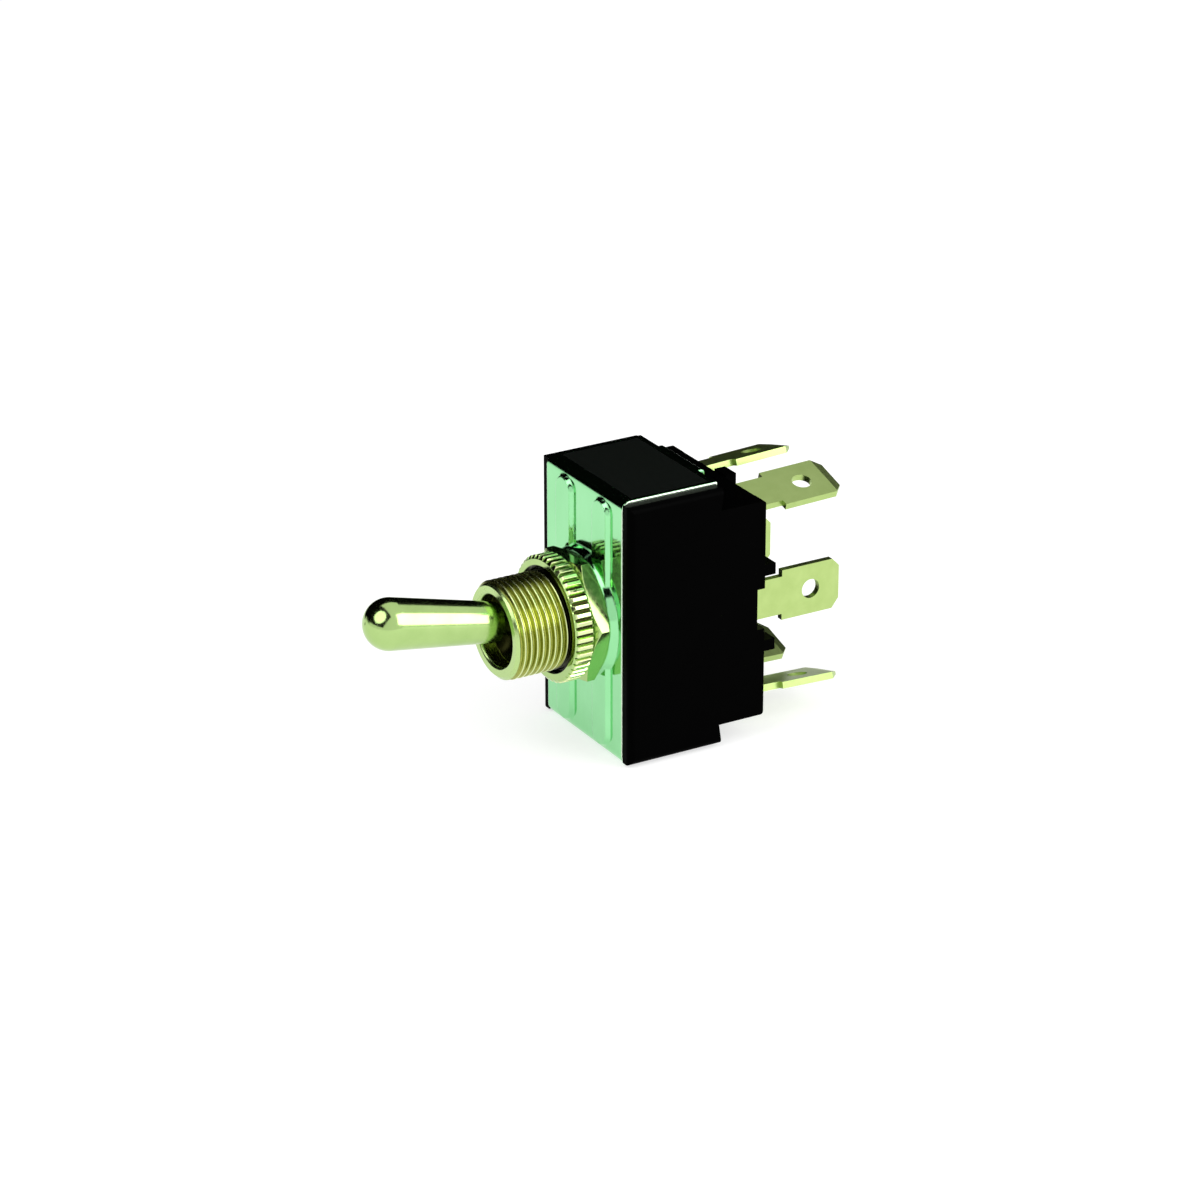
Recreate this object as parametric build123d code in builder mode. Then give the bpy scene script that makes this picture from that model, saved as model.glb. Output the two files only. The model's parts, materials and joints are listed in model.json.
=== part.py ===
"""Two-pole panel toggle switch with a threaded bushing, a bat lever and six blade terminals.

Millimetres, +Z up. The origin lies on the bushing's axis, on the front face of the mounting plate.
The lever points to the front (-Y), the terminals to the back (+Y), and the switch stands on the lower
flap of its frame with the lever in its upper position.
"""

import os
from math import asin, cos, pi, radians, sin, sqrt, tan

from build123d import *

# Frame: one folded sheet that carries the bushing and clasps the case
frame_width = 17.2
frame_height = 33.1
frame_depth = 12.75
sheet = 0.8
bend_radius = 0.4
boss_radius = 8.0
boss_height = 0.9
rib_spacing = 8.4
rib_width = 3.7
rib_height = 0.5
rib_margin = 0.9
emboss_slope = 30.0
crimp_width = 9.0
crimp_reach = 2.1

# Bushing and its two nuts
thread_radius = 5.953
thread_depth = 0.42
thread_start = 0.15
engaged_share = 0.6
bushing_length = 12.1
bushing_chamfer = 0.55
mouth_radius = 4.3
mouth_depth = 1.9
mouth_bevel = 0.3
flange_radius = 6.9
flange_thickness = 0.8
hex_across_flats = 14.29
hex_thickness = 1.9
hex_turn = 5.0
ring_radius = 7.65
ring_thickness = 2.5
ring_countersink = 0.75
tooth_count = 48
tooth_depth = 0.42
tooth_top_share = 0.42
tooth_root_share = 0.72
nut_bevel = 0.45

# Lever
pivot_inset = 5.8
lever_throw = 11.6
bat_length = 19.7
bat_tip_radius = 3.1
bat_root_radius = 2.42
bat_root_reach = 5.8
bat_root_round = 0.8
neck_radius = 1.6
ball_radius = 3.55
pin_radius = 0.85
pin_length = 9.6

# Case
case_width = 20.4
case_end_step = 0.35
case_set_back = 0.15
shoulder_width = 2.6
shoulder_slant = 0.4
rear_depth = 5.7
ledge_drop = 0.2
case_corner_round = 0.8
side_wall = 1.9
end_wall = 1.75
back_wall = 2.7
partition = 1.6
partition_depth = 6.4
barrier_height = 1.45
barrier_thickness = 1.4
barrier_centre = 4.8
centre_barrier_width = 2.5
centre_barrier_step = 0.05
cheek_width = 2.1
cheek_round = 0.4
back_notch_depth = 1.0
back_notch_height = 5.1

# Insulating sheet between the frame and the mechanism
liner_thickness = 0.4
liner_hole_radius = 4.3

# Blade terminals
tab_width = 6.35
tab_length = 8.1
blade_thickness = 0.81
neck_width = 4.8
blade_stand = 3.8
tab_chamfer = 1.1
tab_bevel_length = 1.0
tab_bevel_depth = 0.22
tab_hole_radius = 1.2
tab_hole_from_shoulder = 4.0
end_blade_tilt = 16.5
end_blade_splay = 2.1
end_blade_cover = 0.12

# Contacts
contact_reach = 3.0
foot_reach = 5.0
contact_radius = 1.6
moving_contact_radius = 1.5
moving_contact_height = 0.8
contact_bevel = 0.12
contact_shank_radius = 0.8
contact_touch = 0.03

# Rockers, one for each pole
rocker_throw = 6.0
rocker_sheet = 0.8
fulcrum_rise = 2.15
trough_margin = 2.2
rocker_tip_margin = 0.2
lug_radius = 0.4
ear_height = 0.9
ear_width = 2.6

# Insulating holder on the lever's inner end, with its spring plungers
holder_floor = 1.0
holder_height = 4.4
holder_wall = 0.65
hub_width = 5.6
hub_height = 6.0
stem_inset = 1.4
plunger_radius = 1.35
plunger_reach = 3.5
plunger_engagement = 2.0
spring_pitch = 0.65
spring_wire_radius = 0.2

# Clearances
neck_gap = 0.2
slide_gap = 0.08
pin_gap = 0.05
lug_gap = 0.06
ear_gap = 0.5
wall_gap = 0.34
holder_gap = 0.32
ball_gap = 0.1
thread_gap = 0.03
frame_gap = 0.05
plunger_gap = 0.1

# How near an edge or corner lies to the place it is picked by
near = 0.01

# Derived places
plate_back = sheet
ledge = plate_back + liner_thickness
case_height = frame_height - 2 * case_end_step
case_shoulder_depth = frame_depth + frame_gap
case_depth = case_shoulder_depth + rear_depth
case_back_height = case_height - 2 * shoulder_width
shoulder_depth = case_depth + blade_stand
back_inner = case_depth - back_wall
partition_front = back_inner - partition_depth
fulcrum_depth = back_inner - fulcrum_rise
pivot_depth = bushing_length - pivot_inset
cavity_half_width = case_width / 2 - side_wall
cavity_half_height = case_back_height / 2 - end_wall
flap_inner = frame_height / 2 - sheet
foot_front = back_inner - blade_thickness
tilt = radians(end_blade_tilt)
splay = radians(end_blade_splay)
throw = radians(lever_throw)
rock = radians(rocker_throw)
blade_corner_rise = (neck_width * sin(tilt) + blade_thickness * cos(tilt)) / 2
ledge_height = case_back_height / 2 - ledge_drop
end_blade_z = ledge_height - end_blade_cover - blade_corner_rise - back_wall * tan(splay)
pole_width = cavity_half_width - partition / 2
pole_x = (partition + pole_width) / 2
end_blade_x = pole_x + contact_reach * sin(tilt)
contact_z = end_blade_z - contact_reach * cos(tilt)
ear_offset = (pole_width - blade_thickness) / 2 - wall_gap
rocker_width = 2 * ear_offset - blade_thickness - 2 * ear_gap
middle_blade_x = pole_x + ear_offset
neck_length = shoulder_depth - back_inner
pivot = Vector(0, -pivot_depth, 0)
lever_direction = Vector(0, -cos(throw), sin(throw))
lever_axis = Axis(pivot, lever_direction)
lever_profile_plane = Plane(origin=pivot, x_dir=lever_direction, z_dir=(1, 0, 0))
behind_pivot = Plane(origin=pivot, x_dir=(1, 0, 0), z_dir=-lever_direction)

# The nuts lie on the boss. The thread is plain over its crests in front of them, and inside them it is
# plain at its pitch radius.
hex_front = boss_height + hex_thickness
ring_front = hex_front + ring_thickness
engaged_radius = thread_radius - thread_depth * engaged_share
free_thread = ring_front + thread_start

# The plunger's tip runs in a trough of the rocker. Seen from the turning rocker the tip's centre follows
# an arc, and the trough is that arc set off by the tip's radius.
tip_distance = fulcrum_depth + pivot_depth - rocker_sheet / 2 - plunger_gap - plunger_radius
tip_y = tip_distance * cos(throw) - pivot_depth - fulcrum_depth
tip_z = tip_distance * sin(throw)
tip_along = tip_y * sin(rock) + tip_z * cos(rock)
tip_forward = tip_z * sin(rock) - tip_y * cos(rock)
tip_rise = tip_forward - (fulcrum_depth + pivot_depth - tip_distance)
tip_path_radius = (tip_along**2 + tip_rise**2) / (2 * tip_rise)
trough_radius = tip_path_radius + plunger_radius + plunger_gap + rocker_sheet / 2
trough_angle = asin(tip_along / tip_path_radius) + radians(trough_margin)
trough_end = trough_radius * sin(trough_angle)
trough_rise = trough_radius * (1 - cos(trough_angle))
arm_end = contact_z + moving_contact_radius + rocker_tip_margin
arm_contact_rise = trough_rise + (contact_z - trough_end) * tan(rock)
arm_end_rise = trough_rise + (arm_end - rocker_sheet / 2 - trough_end) * tan(rock)
contact_face_rise = arm_contact_rise - rocker_sheet / 2 - moving_contact_height
closed_contact_y = fulcrum_depth - contact_face_rise * cos(rock) + contact_z * sin(rock)
fixed_contact_height = foot_front - closed_contact_y - contact_touch

holder_front = (ledge + holder_gap + pivot_depth + hub_height / 2 * sin(throw)) / cos(throw)
holder_back = tip_distance - plunger_reach
holder_length = holder_back - holder_front
stem_end = holder_back - stem_inset
plunger_front = holder_back - plunger_engagement
spring_front = holder_front + holder_floor
spring_length = plunger_front - spring_front


def at_depth(y):
    """A plane across the switch, y behind the mounting plate's face, whose normal points to the front."""
    return Plane.XZ.offset(-y)


def rocker_plane(side):
    """The turning frame of a rocker at rest: local x along its arms, local y to the front."""
    return Plane(origin=(side * pole_x, fulcrum_depth, 0), x_dir=(0, -sin(rock), cos(rock)), z_dir=(1, 0, 0))


def blade_plane(side, level):
    """The middle plane of an end blade, from the case's inner face: local x across it, y to its tip."""
    lean = -side * level * tilt
    across = Vector(cos(lean), 0, sin(lean))
    outward = Vector(-sin(lean), 0, cos(lean)) * level
    along = Vector(0, cos(splay), 0) + outward * sin(splay)
    inner_end = (side * end_blade_x, back_inner, level * end_blade_z)
    return Plane(origin=inner_end, x_dir=across, z_dir=across.cross(along))


def foot_plane(side, level):
    """The back wall's inner face at an end terminal: local x across the blade, y to the middle."""
    lean = -side * level * tilt
    inward = Vector(sin(lean), 0, -cos(lean)) * level
    front = Vector(0, -1, 0)
    inner_end = (side * end_blade_x, back_inner, level * end_blade_z)
    return Plane(origin=inner_end, x_dir=inward.cross(front), z_dir=front)


def neck_outline():
    """A blade's narrow part, from the middle of its foot's sheet to the shoulders."""
    half = blade_thickness / 2
    with BuildSketch() as outline:
        with Locations((0, (neck_length - half) / 2)):
            Rectangle(neck_width, neck_length + half)
    return outline.sketch


def blade_outline():
    """A blade from its foot to its tip, drawn with x across the width and y along it."""
    tip = neck_length + tab_length
    with BuildSketch() as outline:
        add(neck_outline())
        with Locations((0, neck_length + tab_length / 2)):
            Rectangle(tab_width, tab_length)
        tip_corners = outline.vertices().filter_by(lambda v: abs(v.Y - tip) < near)
        chamfer(tip_corners, length=tab_chamfer)
        with Locations((0, neck_length + tab_hole_from_shoulder)):
            Circle(tab_hole_radius, mode=Mode.SUBTRACT)
    return outline.sketch


def tip_bevel(plane):
    """The two wedges that come off the faces of a blade's tip, so that the socket slides on."""
    tip = neck_length + tab_length
    half = blade_thickness / 2
    section = Plane(origin=plane.origin, x_dir=plane.y_dir, z_dir=plane.x_dir)
    with BuildPart() as wedges:
        with BuildSketch(section):
            for face in (1, -1):
                with BuildLine():
                    Polyline(
                        (tip - tab_bevel_length, face * half),
                        (tip, face * (half - tab_bevel_depth)),
                        (tip, face * half),
                        close=True,
                    )
                make_face()
        extrude(amount=tab_width / 2, both=True)
    return wedges.part


# Case: one moulding, open to the front, with barriers between the terminals on its back
with BuildPart() as case:
    with BuildSketch(Plane.YZ):
        with BuildLine():
            half = case_height / 2
            back_half = case_back_height / 2
            inner_shoulder = case_shoulder_depth - shoulder_slant
            Polyline(
                (case_set_back, -half),
                (case_shoulder_depth, -half),
                (inner_shoulder, -back_half),
                (case_depth, -back_half),
                (case_depth, back_half),
                (inner_shoulder, back_half),
                (case_shoulder_depth, half),
                (case_set_back, half),
                close=True,
            )
        make_face()
    extrude(amount=case_width / 2, both=True)
    outer_edges = case.edges().filter_by(lambda e: abs(e.center().Y - case_set_back) < near)
    long_edges = case.edges().filter_by(Axis.Y).filter_by(lambda e: abs(e.center().Z) > half - near)
    fillet(outer_edges.filter_by(Axis.Z) + long_edges, radius=case_corner_round)
    back_edges = case.edges().filter_by(lambda e: abs(e.center().Y - case_depth) < near)
    fillet(back_edges.filter_by(Axis.X), radius=cheek_round)

    # The ends behind the frame lie a little lower between the cheeks of the side walls
    with BuildSketch(at_depth(case_depth)):
        for level in (1, -1):
            with Locations((0, level * (ledge_height + case_back_height) / 2)):
                Rectangle(case_width - 2 * cheek_width, case_back_height - ledge_height)
    extrude(amount=case_depth - case_shoulder_depth, mode=Mode.SUBTRACT)

    # Seats of the plate, the insulating sheet and the two flaps
    seat_width = frame_width + 2 * frame_gap
    with BuildSketch(at_depth(0)):
        Rectangle(seat_width, case_height)
    extrude(amount=-ledge, mode=Mode.SUBTRACT)
    with BuildSketch(at_depth(0)):
        for level in (1, -1):
            with Locations((0, level * (flap_inner + sheet / 2))):
                Rectangle(seat_width, sheet)
    extrude(amount=-case_shoulder_depth, mode=Mode.SUBTRACT)

    # The two chambers, with the partition between the poles standing behind the lever's holder
    with BuildSketch(at_depth(ledge)):
        Rectangle(2 * cavity_half_width, 2 * cavity_half_height)
    extrude(amount=ledge - back_inner, mode=Mode.SUBTRACT)
    with BuildSketch(at_depth(back_inner)):
        Rectangle(partition, 2 * cavity_half_height)
    extrude(amount=back_inner - partition_front)

    # Barriers, posts and notches on the back
    with BuildSketch(at_depth(case_depth)):
        for level in (1, -1):
            with Locations((0, level * barrier_centre)):
                Rectangle(case_width, barrier_thickness)
        Rectangle(centre_barrier_width, case_back_height + 2 * centre_barrier_step)
    extrude(amount=-barrier_height)
    with BuildSketch(at_depth(case_depth)):
        for side in (1, -1):
            with Locations((side * (case_width - side_wall) / 2, 0)):
                Rectangle(side_wall, back_notch_height)
    extrude(amount=back_notch_depth, mode=Mode.SUBTRACT)

    # Slots that the blades stand in
    with BuildSketch(at_depth(case_depth)):
        for side in (1, -1):
            with Locations((side * middle_blade_x, 0)):
                Rectangle(blade_thickness, neck_width)
    extrude(amount=back_wall, mode=Mode.SUBTRACT)
    for side in (1, -1):
        for level in (1, -1):
            with BuildSketch(blade_plane(side, level)):
                add(neck_outline())
            extrude(amount=blade_thickness / 2, both=True, mode=Mode.SUBTRACT)

    # Seats of the folded feet, where they run into the end walls
    for side in (1, -1):
        for level in (1, -1):
            with BuildSketch(foot_plane(side, level)):
                with Locations((0, (foot_reach - blade_thickness / 2) / 2)):
                    Rectangle(neck_width, foot_reach + blade_thickness / 2)
            extrude(amount=blade_thickness, mode=Mode.SUBTRACT)
case.part.label = "case"


# Frame: a folded channel with two embossed ribs and a round boss
with BuildPart() as frame:
    with BuildSketch(Plane.YZ) as channel:
        with BuildLine():
            top = frame_height / 2
            Polyline(
                (frame_depth, -top),
                (0, -top),
                (0, top),
                (frame_depth, top),
                (frame_depth, flap_inner),
                (plate_back, flap_inner),
                (plate_back, -flap_inner),
                (frame_depth, -flap_inner),
                close=True,
            )
        make_face()
        fillet(channel.vertices().filter_by(lambda v: v.X < near), radius=bend_radius + sheet)
        fillet(channel.vertices().filter_by(lambda v: abs(v.X - plate_back) < near), radius=bend_radius)
    extrude(amount=frame_width / 2, both=True)

    # The flaps' middle tongues, crimped over the case's shoulders
    with BuildSketch(Plane.YZ) as tongues:
        for level in (1, -1):
            with BuildLine():
                Polyline(
                    (frame_depth, level * top),
                    (frame_depth + sheet, level * top),
                    (frame_depth + sheet, level * (top - crimp_reach)),
                    (frame_depth, level * (top - crimp_reach)),
                    close=True,
                )
            make_face()
        back_corners = tongues.vertices().filter_by(lambda v: v.X > frame_depth + near)
        fillet(back_corners.filter_by(lambda v: abs(v.Y) > top - near), radius=bend_radius)
    extrude(amount=crimp_width / 2, both=True)

    # Embossed ribs and boss: raised on the front, hollow behind
    rib_length = frame_height - 2 * rib_margin
    for shrink, mode, depth in ((0, Mode.ADD, 0), (2 * rib_height, Mode.SUBTRACT, plate_back)):
        with BuildSketch(at_depth(depth)):
            for side in (1, -1):
                with Locations((side * rib_spacing / 2, 0)):
                    SlotOverall(rib_length - shrink, rib_width - shrink, rotation=90)
        extrude(amount=rib_height, taper=emboss_slope, mode=mode)
    with BuildSketch(at_depth(0)):
        Circle(boss_radius)
    extrude(amount=boss_height, taper=emboss_slope)
    with BuildSketch(at_depth(plate_back)):
        Circle(boss_radius - rib_height)
    extrude(amount=boss_height, taper=emboss_slope, mode=Mode.SUBTRACT)
    with BuildSketch(at_depth(plate_back)):
        Circle(thread_radius + thread_gap)
    extrude(amount=bushing_length, mode=Mode.SUBTRACT)
frame.part.label = "frame"


# Insulating sheet behind the plate
with BuildPart() as liner:
    with BuildSketch(at_depth(ledge)):
        Rectangle(frame_width, 2 * (flap_inner - bend_radius - frame_gap))
        Circle(liner_hole_radius, mode=Mode.SUBTRACT)
    extrude(amount=liner_thickness)
liner.part.label = "liner"


# Bushing: turned, with the lever's ball seat inside and slots for the cross pin broached from behind
seat_radius = ball_radius + ball_gap
throat_radius = neck_radius * cos(throw) + seat_radius * sin(throw) + neck_gap
seat_front = sqrt(seat_radius**2 - throat_radius**2)
flange_front = plate_back - boss_height
with BuildPart() as bushing:
    with BuildSketch(Plane.XY):
        with BuildLine():
            Polyline(
                (seat_radius, -pivot_depth),
                (seat_radius, flange_front + flange_thickness),
                (flange_radius, flange_front + flange_thickness),
                (flange_radius, flange_front),
                (engaged_radius, flange_front),
                (engaged_radius, -free_thread),
                (thread_radius, -free_thread),
                (thread_radius, bushing_chamfer - bushing_length),
                (thread_radius - bushing_chamfer, -bushing_length),
                (mouth_radius + mouth_bevel, -bushing_length),
                (mouth_radius, mouth_bevel - bushing_length),
                (mouth_radius, mouth_depth - bushing_length),
                (throat_radius, -pivot_depth - seat_front),
            )
            RadiusArc((throat_radius, -pivot_depth - seat_front), (seat_radius, -pivot_depth), -seat_radius)
        make_face()
    revolve(axis=Axis.Y)

    slot_reach = pin_length / 2 + slide_gap
    slot_radius = pin_radius + pin_gap
    with BuildSketch(Plane.YZ):
        with Locations((-pivot_depth, 0)):
            Circle(slot_radius)
        with Locations(((plate_back - pivot_depth) / 2, 0)):
            Rectangle(plate_back + pivot_depth, 2 * slot_radius)
    extrude(amount=slot_reach, both=True, mode=Mode.SUBTRACT)
bushing.part.label = "bushing"


# Hexagon nut, bevelled on both faces
with BuildPart() as hex_nut:
    with BuildSketch(at_depth(-boss_height)):
        RegularPolygon(hex_across_flats / 2, side_count=6, major_radius=False, rotation=hex_turn)
    extrude(amount=hex_thickness)
    corner_radius = hex_across_flats / 2 / cos(radians(30))
    with BuildSketch(Plane.XY):
        with BuildLine():
            Polyline(
                (0, -boss_height),
                (corner_radius - 2 * nut_bevel, -boss_height),
                (corner_radius, -boss_height - nut_bevel),
                (corner_radius, -hex_front + nut_bevel),
                (corner_radius - 2 * nut_bevel, -hex_front),
                (0, -hex_front),
                close=True,
            )
        make_face()
    revolve(axis=Axis.Y, mode=Mode.INTERSECT)
    with BuildSketch(at_depth(0)):
        Circle(engaged_radius + thread_gap)
    extrude(amount=bushing_length, mode=Mode.SUBTRACT)
hex_nut.part.label = "hex_nut"


# Round nut with straight teeth on its rim
tooth_pitch = 2 * pi * ring_radius / tooth_count
tooth_root = tooth_pitch * tooth_root_share / 2
tooth_crest = tooth_pitch * tooth_top_share / 2
root_radius = ring_radius - tooth_depth
blank_radius = ring_radius + tooth_depth / 4
with BuildPart() as knurled_nut:
    with BuildSketch(at_depth(-hex_front)):
        Circle(root_radius)
        with PolarLocations(root_radius, tooth_count):
            Polygon(
                (-tooth_depth / 2, -tooth_root),
                (0, -tooth_root),
                (tooth_depth, -tooth_crest),
                (tooth_depth, tooth_crest),
                (0, tooth_root),
                (-tooth_depth / 2, tooth_root),
                align=None,
            )
    extrude(amount=ring_thickness)
    with BuildSketch(Plane.XY):
        with BuildLine():
            Polyline(
                (0, -hex_front),
                (ring_radius - nut_bevel, -hex_front),
                (blank_radius, -hex_front - nut_bevel),
                (blank_radius, -ring_front + nut_bevel),
                (ring_radius - nut_bevel, -ring_front),
                (0, -ring_front),
                close=True,
            )
        make_face()
    revolve(axis=Axis.Y, mode=Mode.INTERSECT)
    with BuildSketch(Plane.XY):
        with BuildLine():
            bore = engaged_radius + thread_gap
            Polyline(
                (0, 0),
                (bore, 0),
                (bore, -ring_front + ring_countersink),
                (bore + ring_countersink, -ring_front),
                (bore + ring_countersink, -bushing_length),
                (0, -bushing_length),
                close=True,
            )
        make_face()
    revolve(axis=Axis.Y, mode=Mode.SUBTRACT)
knurled_nut.part.label = "knurled_nut"


# Lever: bat, neck, pivot ball and inner stem, turned in one piece and cross-drilled for the pin
neck_meets_ball = sqrt(ball_radius**2 - neck_radius**2)
with BuildPart() as lever:
    with BuildSketch(lever_profile_plane):
        with BuildLine():
            tip = Vector(bat_length, bat_tip_radius)
            Line((-stem_end, 0), (bat_length + bat_tip_radius, 0))
            RadiusArc((bat_length + bat_tip_radius, 0), tip, -bat_tip_radius)
            root_corner = Vector(bat_root_reach, bat_root_radius)
            Line(tip, root_corner)
            neck_start = Vector(bat_root_reach - bat_root_round, neck_radius)
            Line(root_corner, neck_start)
            Line(neck_start, (neck_meets_ball, neck_radius))
            ThreePointArc((neck_meets_ball, neck_radius), (0, ball_radius), (-neck_meets_ball, neck_radius))
            Line((-neck_meets_ball, neck_radius), (-stem_end, neck_radius))
            Line((-stem_end, neck_radius), (-stem_end, 0))
        make_face()
    revolve(axis=lever_axis)
    with BuildSketch(Plane(origin=pivot, x_dir=(0, 1, 0), z_dir=(1, 0, 0))):
        Circle(pin_radius)
    extrude(amount=ball_radius, both=True, mode=Mode.SUBTRACT)
lever.part.label = "lever"

with BuildPart() as pivot_pin:
    with BuildSketch(Plane(origin=pivot, x_dir=(0, 1, 0), z_dir=(1, 0, 0))):
        Circle(pin_radius)
    extrude(amount=pin_length / 2, both=True)
pivot_pin.part.label = "pivot_pin"


# Holder on the lever's stem: a hub with a crossbar that reaches both poles
bore_radius = plunger_radius + slide_gap
holder_half_width = pole_x + bore_radius + holder_wall
tip_end = tip_distance + plunger_radius
with BuildPart() as holder:
    with BuildSketch(behind_pivot.offset(holder_front)):
        RectangleRounded(2 * holder_half_width, holder_height, holder_wall)
        RectangleRounded(hub_width, hub_height, holder_wall)
    extrude(amount=holder_length)
    with BuildSketch(behind_pivot.offset(holder_front)):
        Circle(neck_radius)
    extrude(amount=stem_end - holder_front, mode=Mode.SUBTRACT)
    with BuildSketch(behind_pivot.offset(holder_back)):
        for side in (1, -1):
            with Locations((side * pole_x, 0)):
                Circle(bore_radius)
    extrude(amount=spring_front - holder_back, mode=Mode.SUBTRACT)
holder.part.label = "holder"


def make_plunger(side):
    """A round-nosed plunger that slides in the holder and rides in a rocker's trough."""
    nose = Vector(tip_distance, plunger_radius)
    axis_plane = Plane(origin=pivot + Vector(side * pole_x, 0, 0), x_dir=-lever_direction, z_dir=(1, 0, 0))
    with BuildPart() as plunger:
        with BuildSketch(axis_plane):
            with BuildLine():
                Line((plunger_front, 0), (plunger_front, plunger_radius))
                Line((plunger_front, plunger_radius), nose)
                RadiusArc(nose, (tip_end, 0), plunger_radius)
                Line((tip_end, 0), (plunger_front, 0))
            make_face()
        revolve(axis=Axis(axis_plane.origin, axis_plane.x_dir))
    return plunger.part


def make_spring(side):
    """The coil spring between the bottom of the holder's bore and the plunger."""
    coil_radius = plunger_radius - spring_wire_radius
    free = spring_length - 2 * spring_wire_radius
    start = behind_pivot.offset(spring_front + spring_wire_radius).origin + Vector(side * pole_x, 0, 0)
    with BuildPart() as spring:
        with BuildLine() as coil:
            Helix(spring_pitch, free, coil_radius, center=start, direction=behind_pivot.z_dir)
        with BuildSketch(Plane(origin=coil.line @ 0, z_dir=coil.line % 0)):
            RegularPolygon(spring_wire_radius, side_count=6)
        sweep(path=coil.line, is_frenet=True)
    return spring.part


def contact_plane(side, arm):
    """The seat of a rocker's contact: its origin on the arm's middle plane, its normal to the front."""
    base = rocker_plane(side)
    lean = arm * rock
    front = base.y_dir * cos(lean) - base.x_dir * sin(lean)
    along = base.x_dir * cos(lean) + base.y_dir * sin(lean)
    seat = base.origin + base.x_dir * (arm * contact_z) + base.y_dir * arm_contact_rise
    return Plane(origin=seat, x_dir=along, z_dir=front)


def make_rocker(side):
    """A formed contact strip: a trough in the middle, two arms, and a round lug on each edge."""
    half_sheet = rocker_sheet / 2
    with BuildPart() as rocker:
        with BuildSketch(rocker_plane(side)):
            with BuildLine():
                trough = ThreePointArc((-trough_end, trough_rise), (0, 0), (trough_end, trough_rise))
                Line(trough @ 1, (arm_end - half_sheet, arm_end_rise))
                Line((half_sheet - arm_end, arm_end_rise), trough @ 0)
                offset(amount=half_sheet, side=Side.BOTH, kind=Kind.INTERSECTION)
            make_face()
        extrude(amount=rocker_width / 2, both=True)
        with BuildSketch(rocker_plane(side)):
            Circle(lug_radius)
        extrude(amount=ear_offset + blade_thickness / 2, both=True)
        for arm in (1, -1):
            with BuildSketch(contact_plane(side, arm)):
                Circle(contact_shank_radius)
            extrude(amount=rocker_sheet, both=True, mode=Mode.SUBTRACT)
    return rocker.part


def make_moving_contact(side, arm):
    """A riveted contact: a bevelled head behind the arm, a shank through it and a flat head in front."""
    seat = contact_plane(side, arm)
    half_sheet = rocker_sheet / 2
    profile = Plane(origin=seat.origin, x_dir=-seat.z_dir, z_dir=seat.y_dir)
    face = half_sheet + moving_contact_height
    rivet_face = half_sheet + contact_bevel
    with BuildPart() as contact:
        with BuildSketch(profile):
            with BuildLine():
                Polyline(
                    (-rivet_face, 0),
                    (-rivet_face, contact_shank_radius),
                    (-half_sheet, contact_shank_radius + contact_bevel),
                    (-half_sheet, contact_shank_radius),
                    (half_sheet, contact_shank_radius),
                    (half_sheet, moving_contact_radius),
                    (face - contact_bevel, moving_contact_radius),
                    (face, moving_contact_radius - contact_bevel),
                    (face, 0),
                    close=True,
                )
            make_face()
        revolve(axis=Axis(seat.origin, seat.z_dir))
    return contact.part


def make_fixed_contact(side, level):
    """A flat contact button riveted through the foot of an end terminal."""
    seat = at_depth(foot_front).shift_origin((side * pole_x, foot_front, level * contact_z))
    with BuildPart() as contact:
        with BuildSketch(seat):
            Circle(contact_radius)
        extrude(amount=fixed_contact_height)
        chamfer(contact.edges().sort_by(Axis.Y)[:1], length=contact_bevel)
        with BuildSketch(seat):
            Circle(contact_shank_radius)
        extrude(amount=-blade_thickness)
    return contact.part


def make_end_terminal(side, level):
    """A leaning blade whose foot is folded towards the middle of the case and carries a contact."""
    plane = blade_plane(side, level)
    half = blade_thickness / 2
    with BuildPart() as terminal:
        with BuildSketch(plane):
            add(blade_outline())
        extrude(amount=half, both=True)
        add(tip_bevel(plane), mode=Mode.SUBTRACT)
        with BuildSketch(foot_plane(side, level)):
            with Locations((0, (foot_reach - half) / 2)):
                Rectangle(neck_width, foot_reach + half)
        extrude(amount=blade_thickness)
        with BuildSketch(foot_plane(side, level)):
            with Locations((0, contact_reach)):
                Circle(contact_shank_radius)
        extrude(amount=blade_thickness, mode=Mode.SUBTRACT)
    return terminal.part


def make_middle_terminal(side):
    """An upright blade with a foot across the pole and two notched ears, which cradle the rocker."""
    plane = Plane(origin=(side * middle_blade_x, back_inner, 0), x_dir=(0, 0, 1), z_dir=(-1, 0, 0))
    half = blade_thickness / 2
    ear_front = fulcrum_depth - ear_height
    with BuildPart() as terminal:
        with BuildSketch(plane):
            add(blade_outline())
        extrude(amount=half, both=True)
        add(tip_bevel(plane), mode=Mode.SUBTRACT)
        with BuildSketch(at_depth(back_inner)):
            with Locations((side * pole_x, 0)):
                Rectangle(2 * ear_offset + blade_thickness, neck_width)
        extrude(amount=blade_thickness)
        for ear_x in (side * pole_x - ear_offset, side * pole_x + ear_offset):
            with BuildSketch(Plane.YZ.offset(ear_x)):
                with Locations(((ear_front + back_inner) / 2, 0)):
                    Rectangle(back_inner - ear_front, ear_width)
                notch_radius = lug_radius + lug_gap
                with Locations((fulcrum_depth, 0)):
                    Circle(notch_radius, mode=Mode.SUBTRACT)
                with Locations((fulcrum_depth - ear_height / 2, 0)):
                    Rectangle(ear_height, 2 * notch_radius, mode=Mode.SUBTRACT)
            extrude(amount=half, both=True)
    return terminal.part


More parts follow.
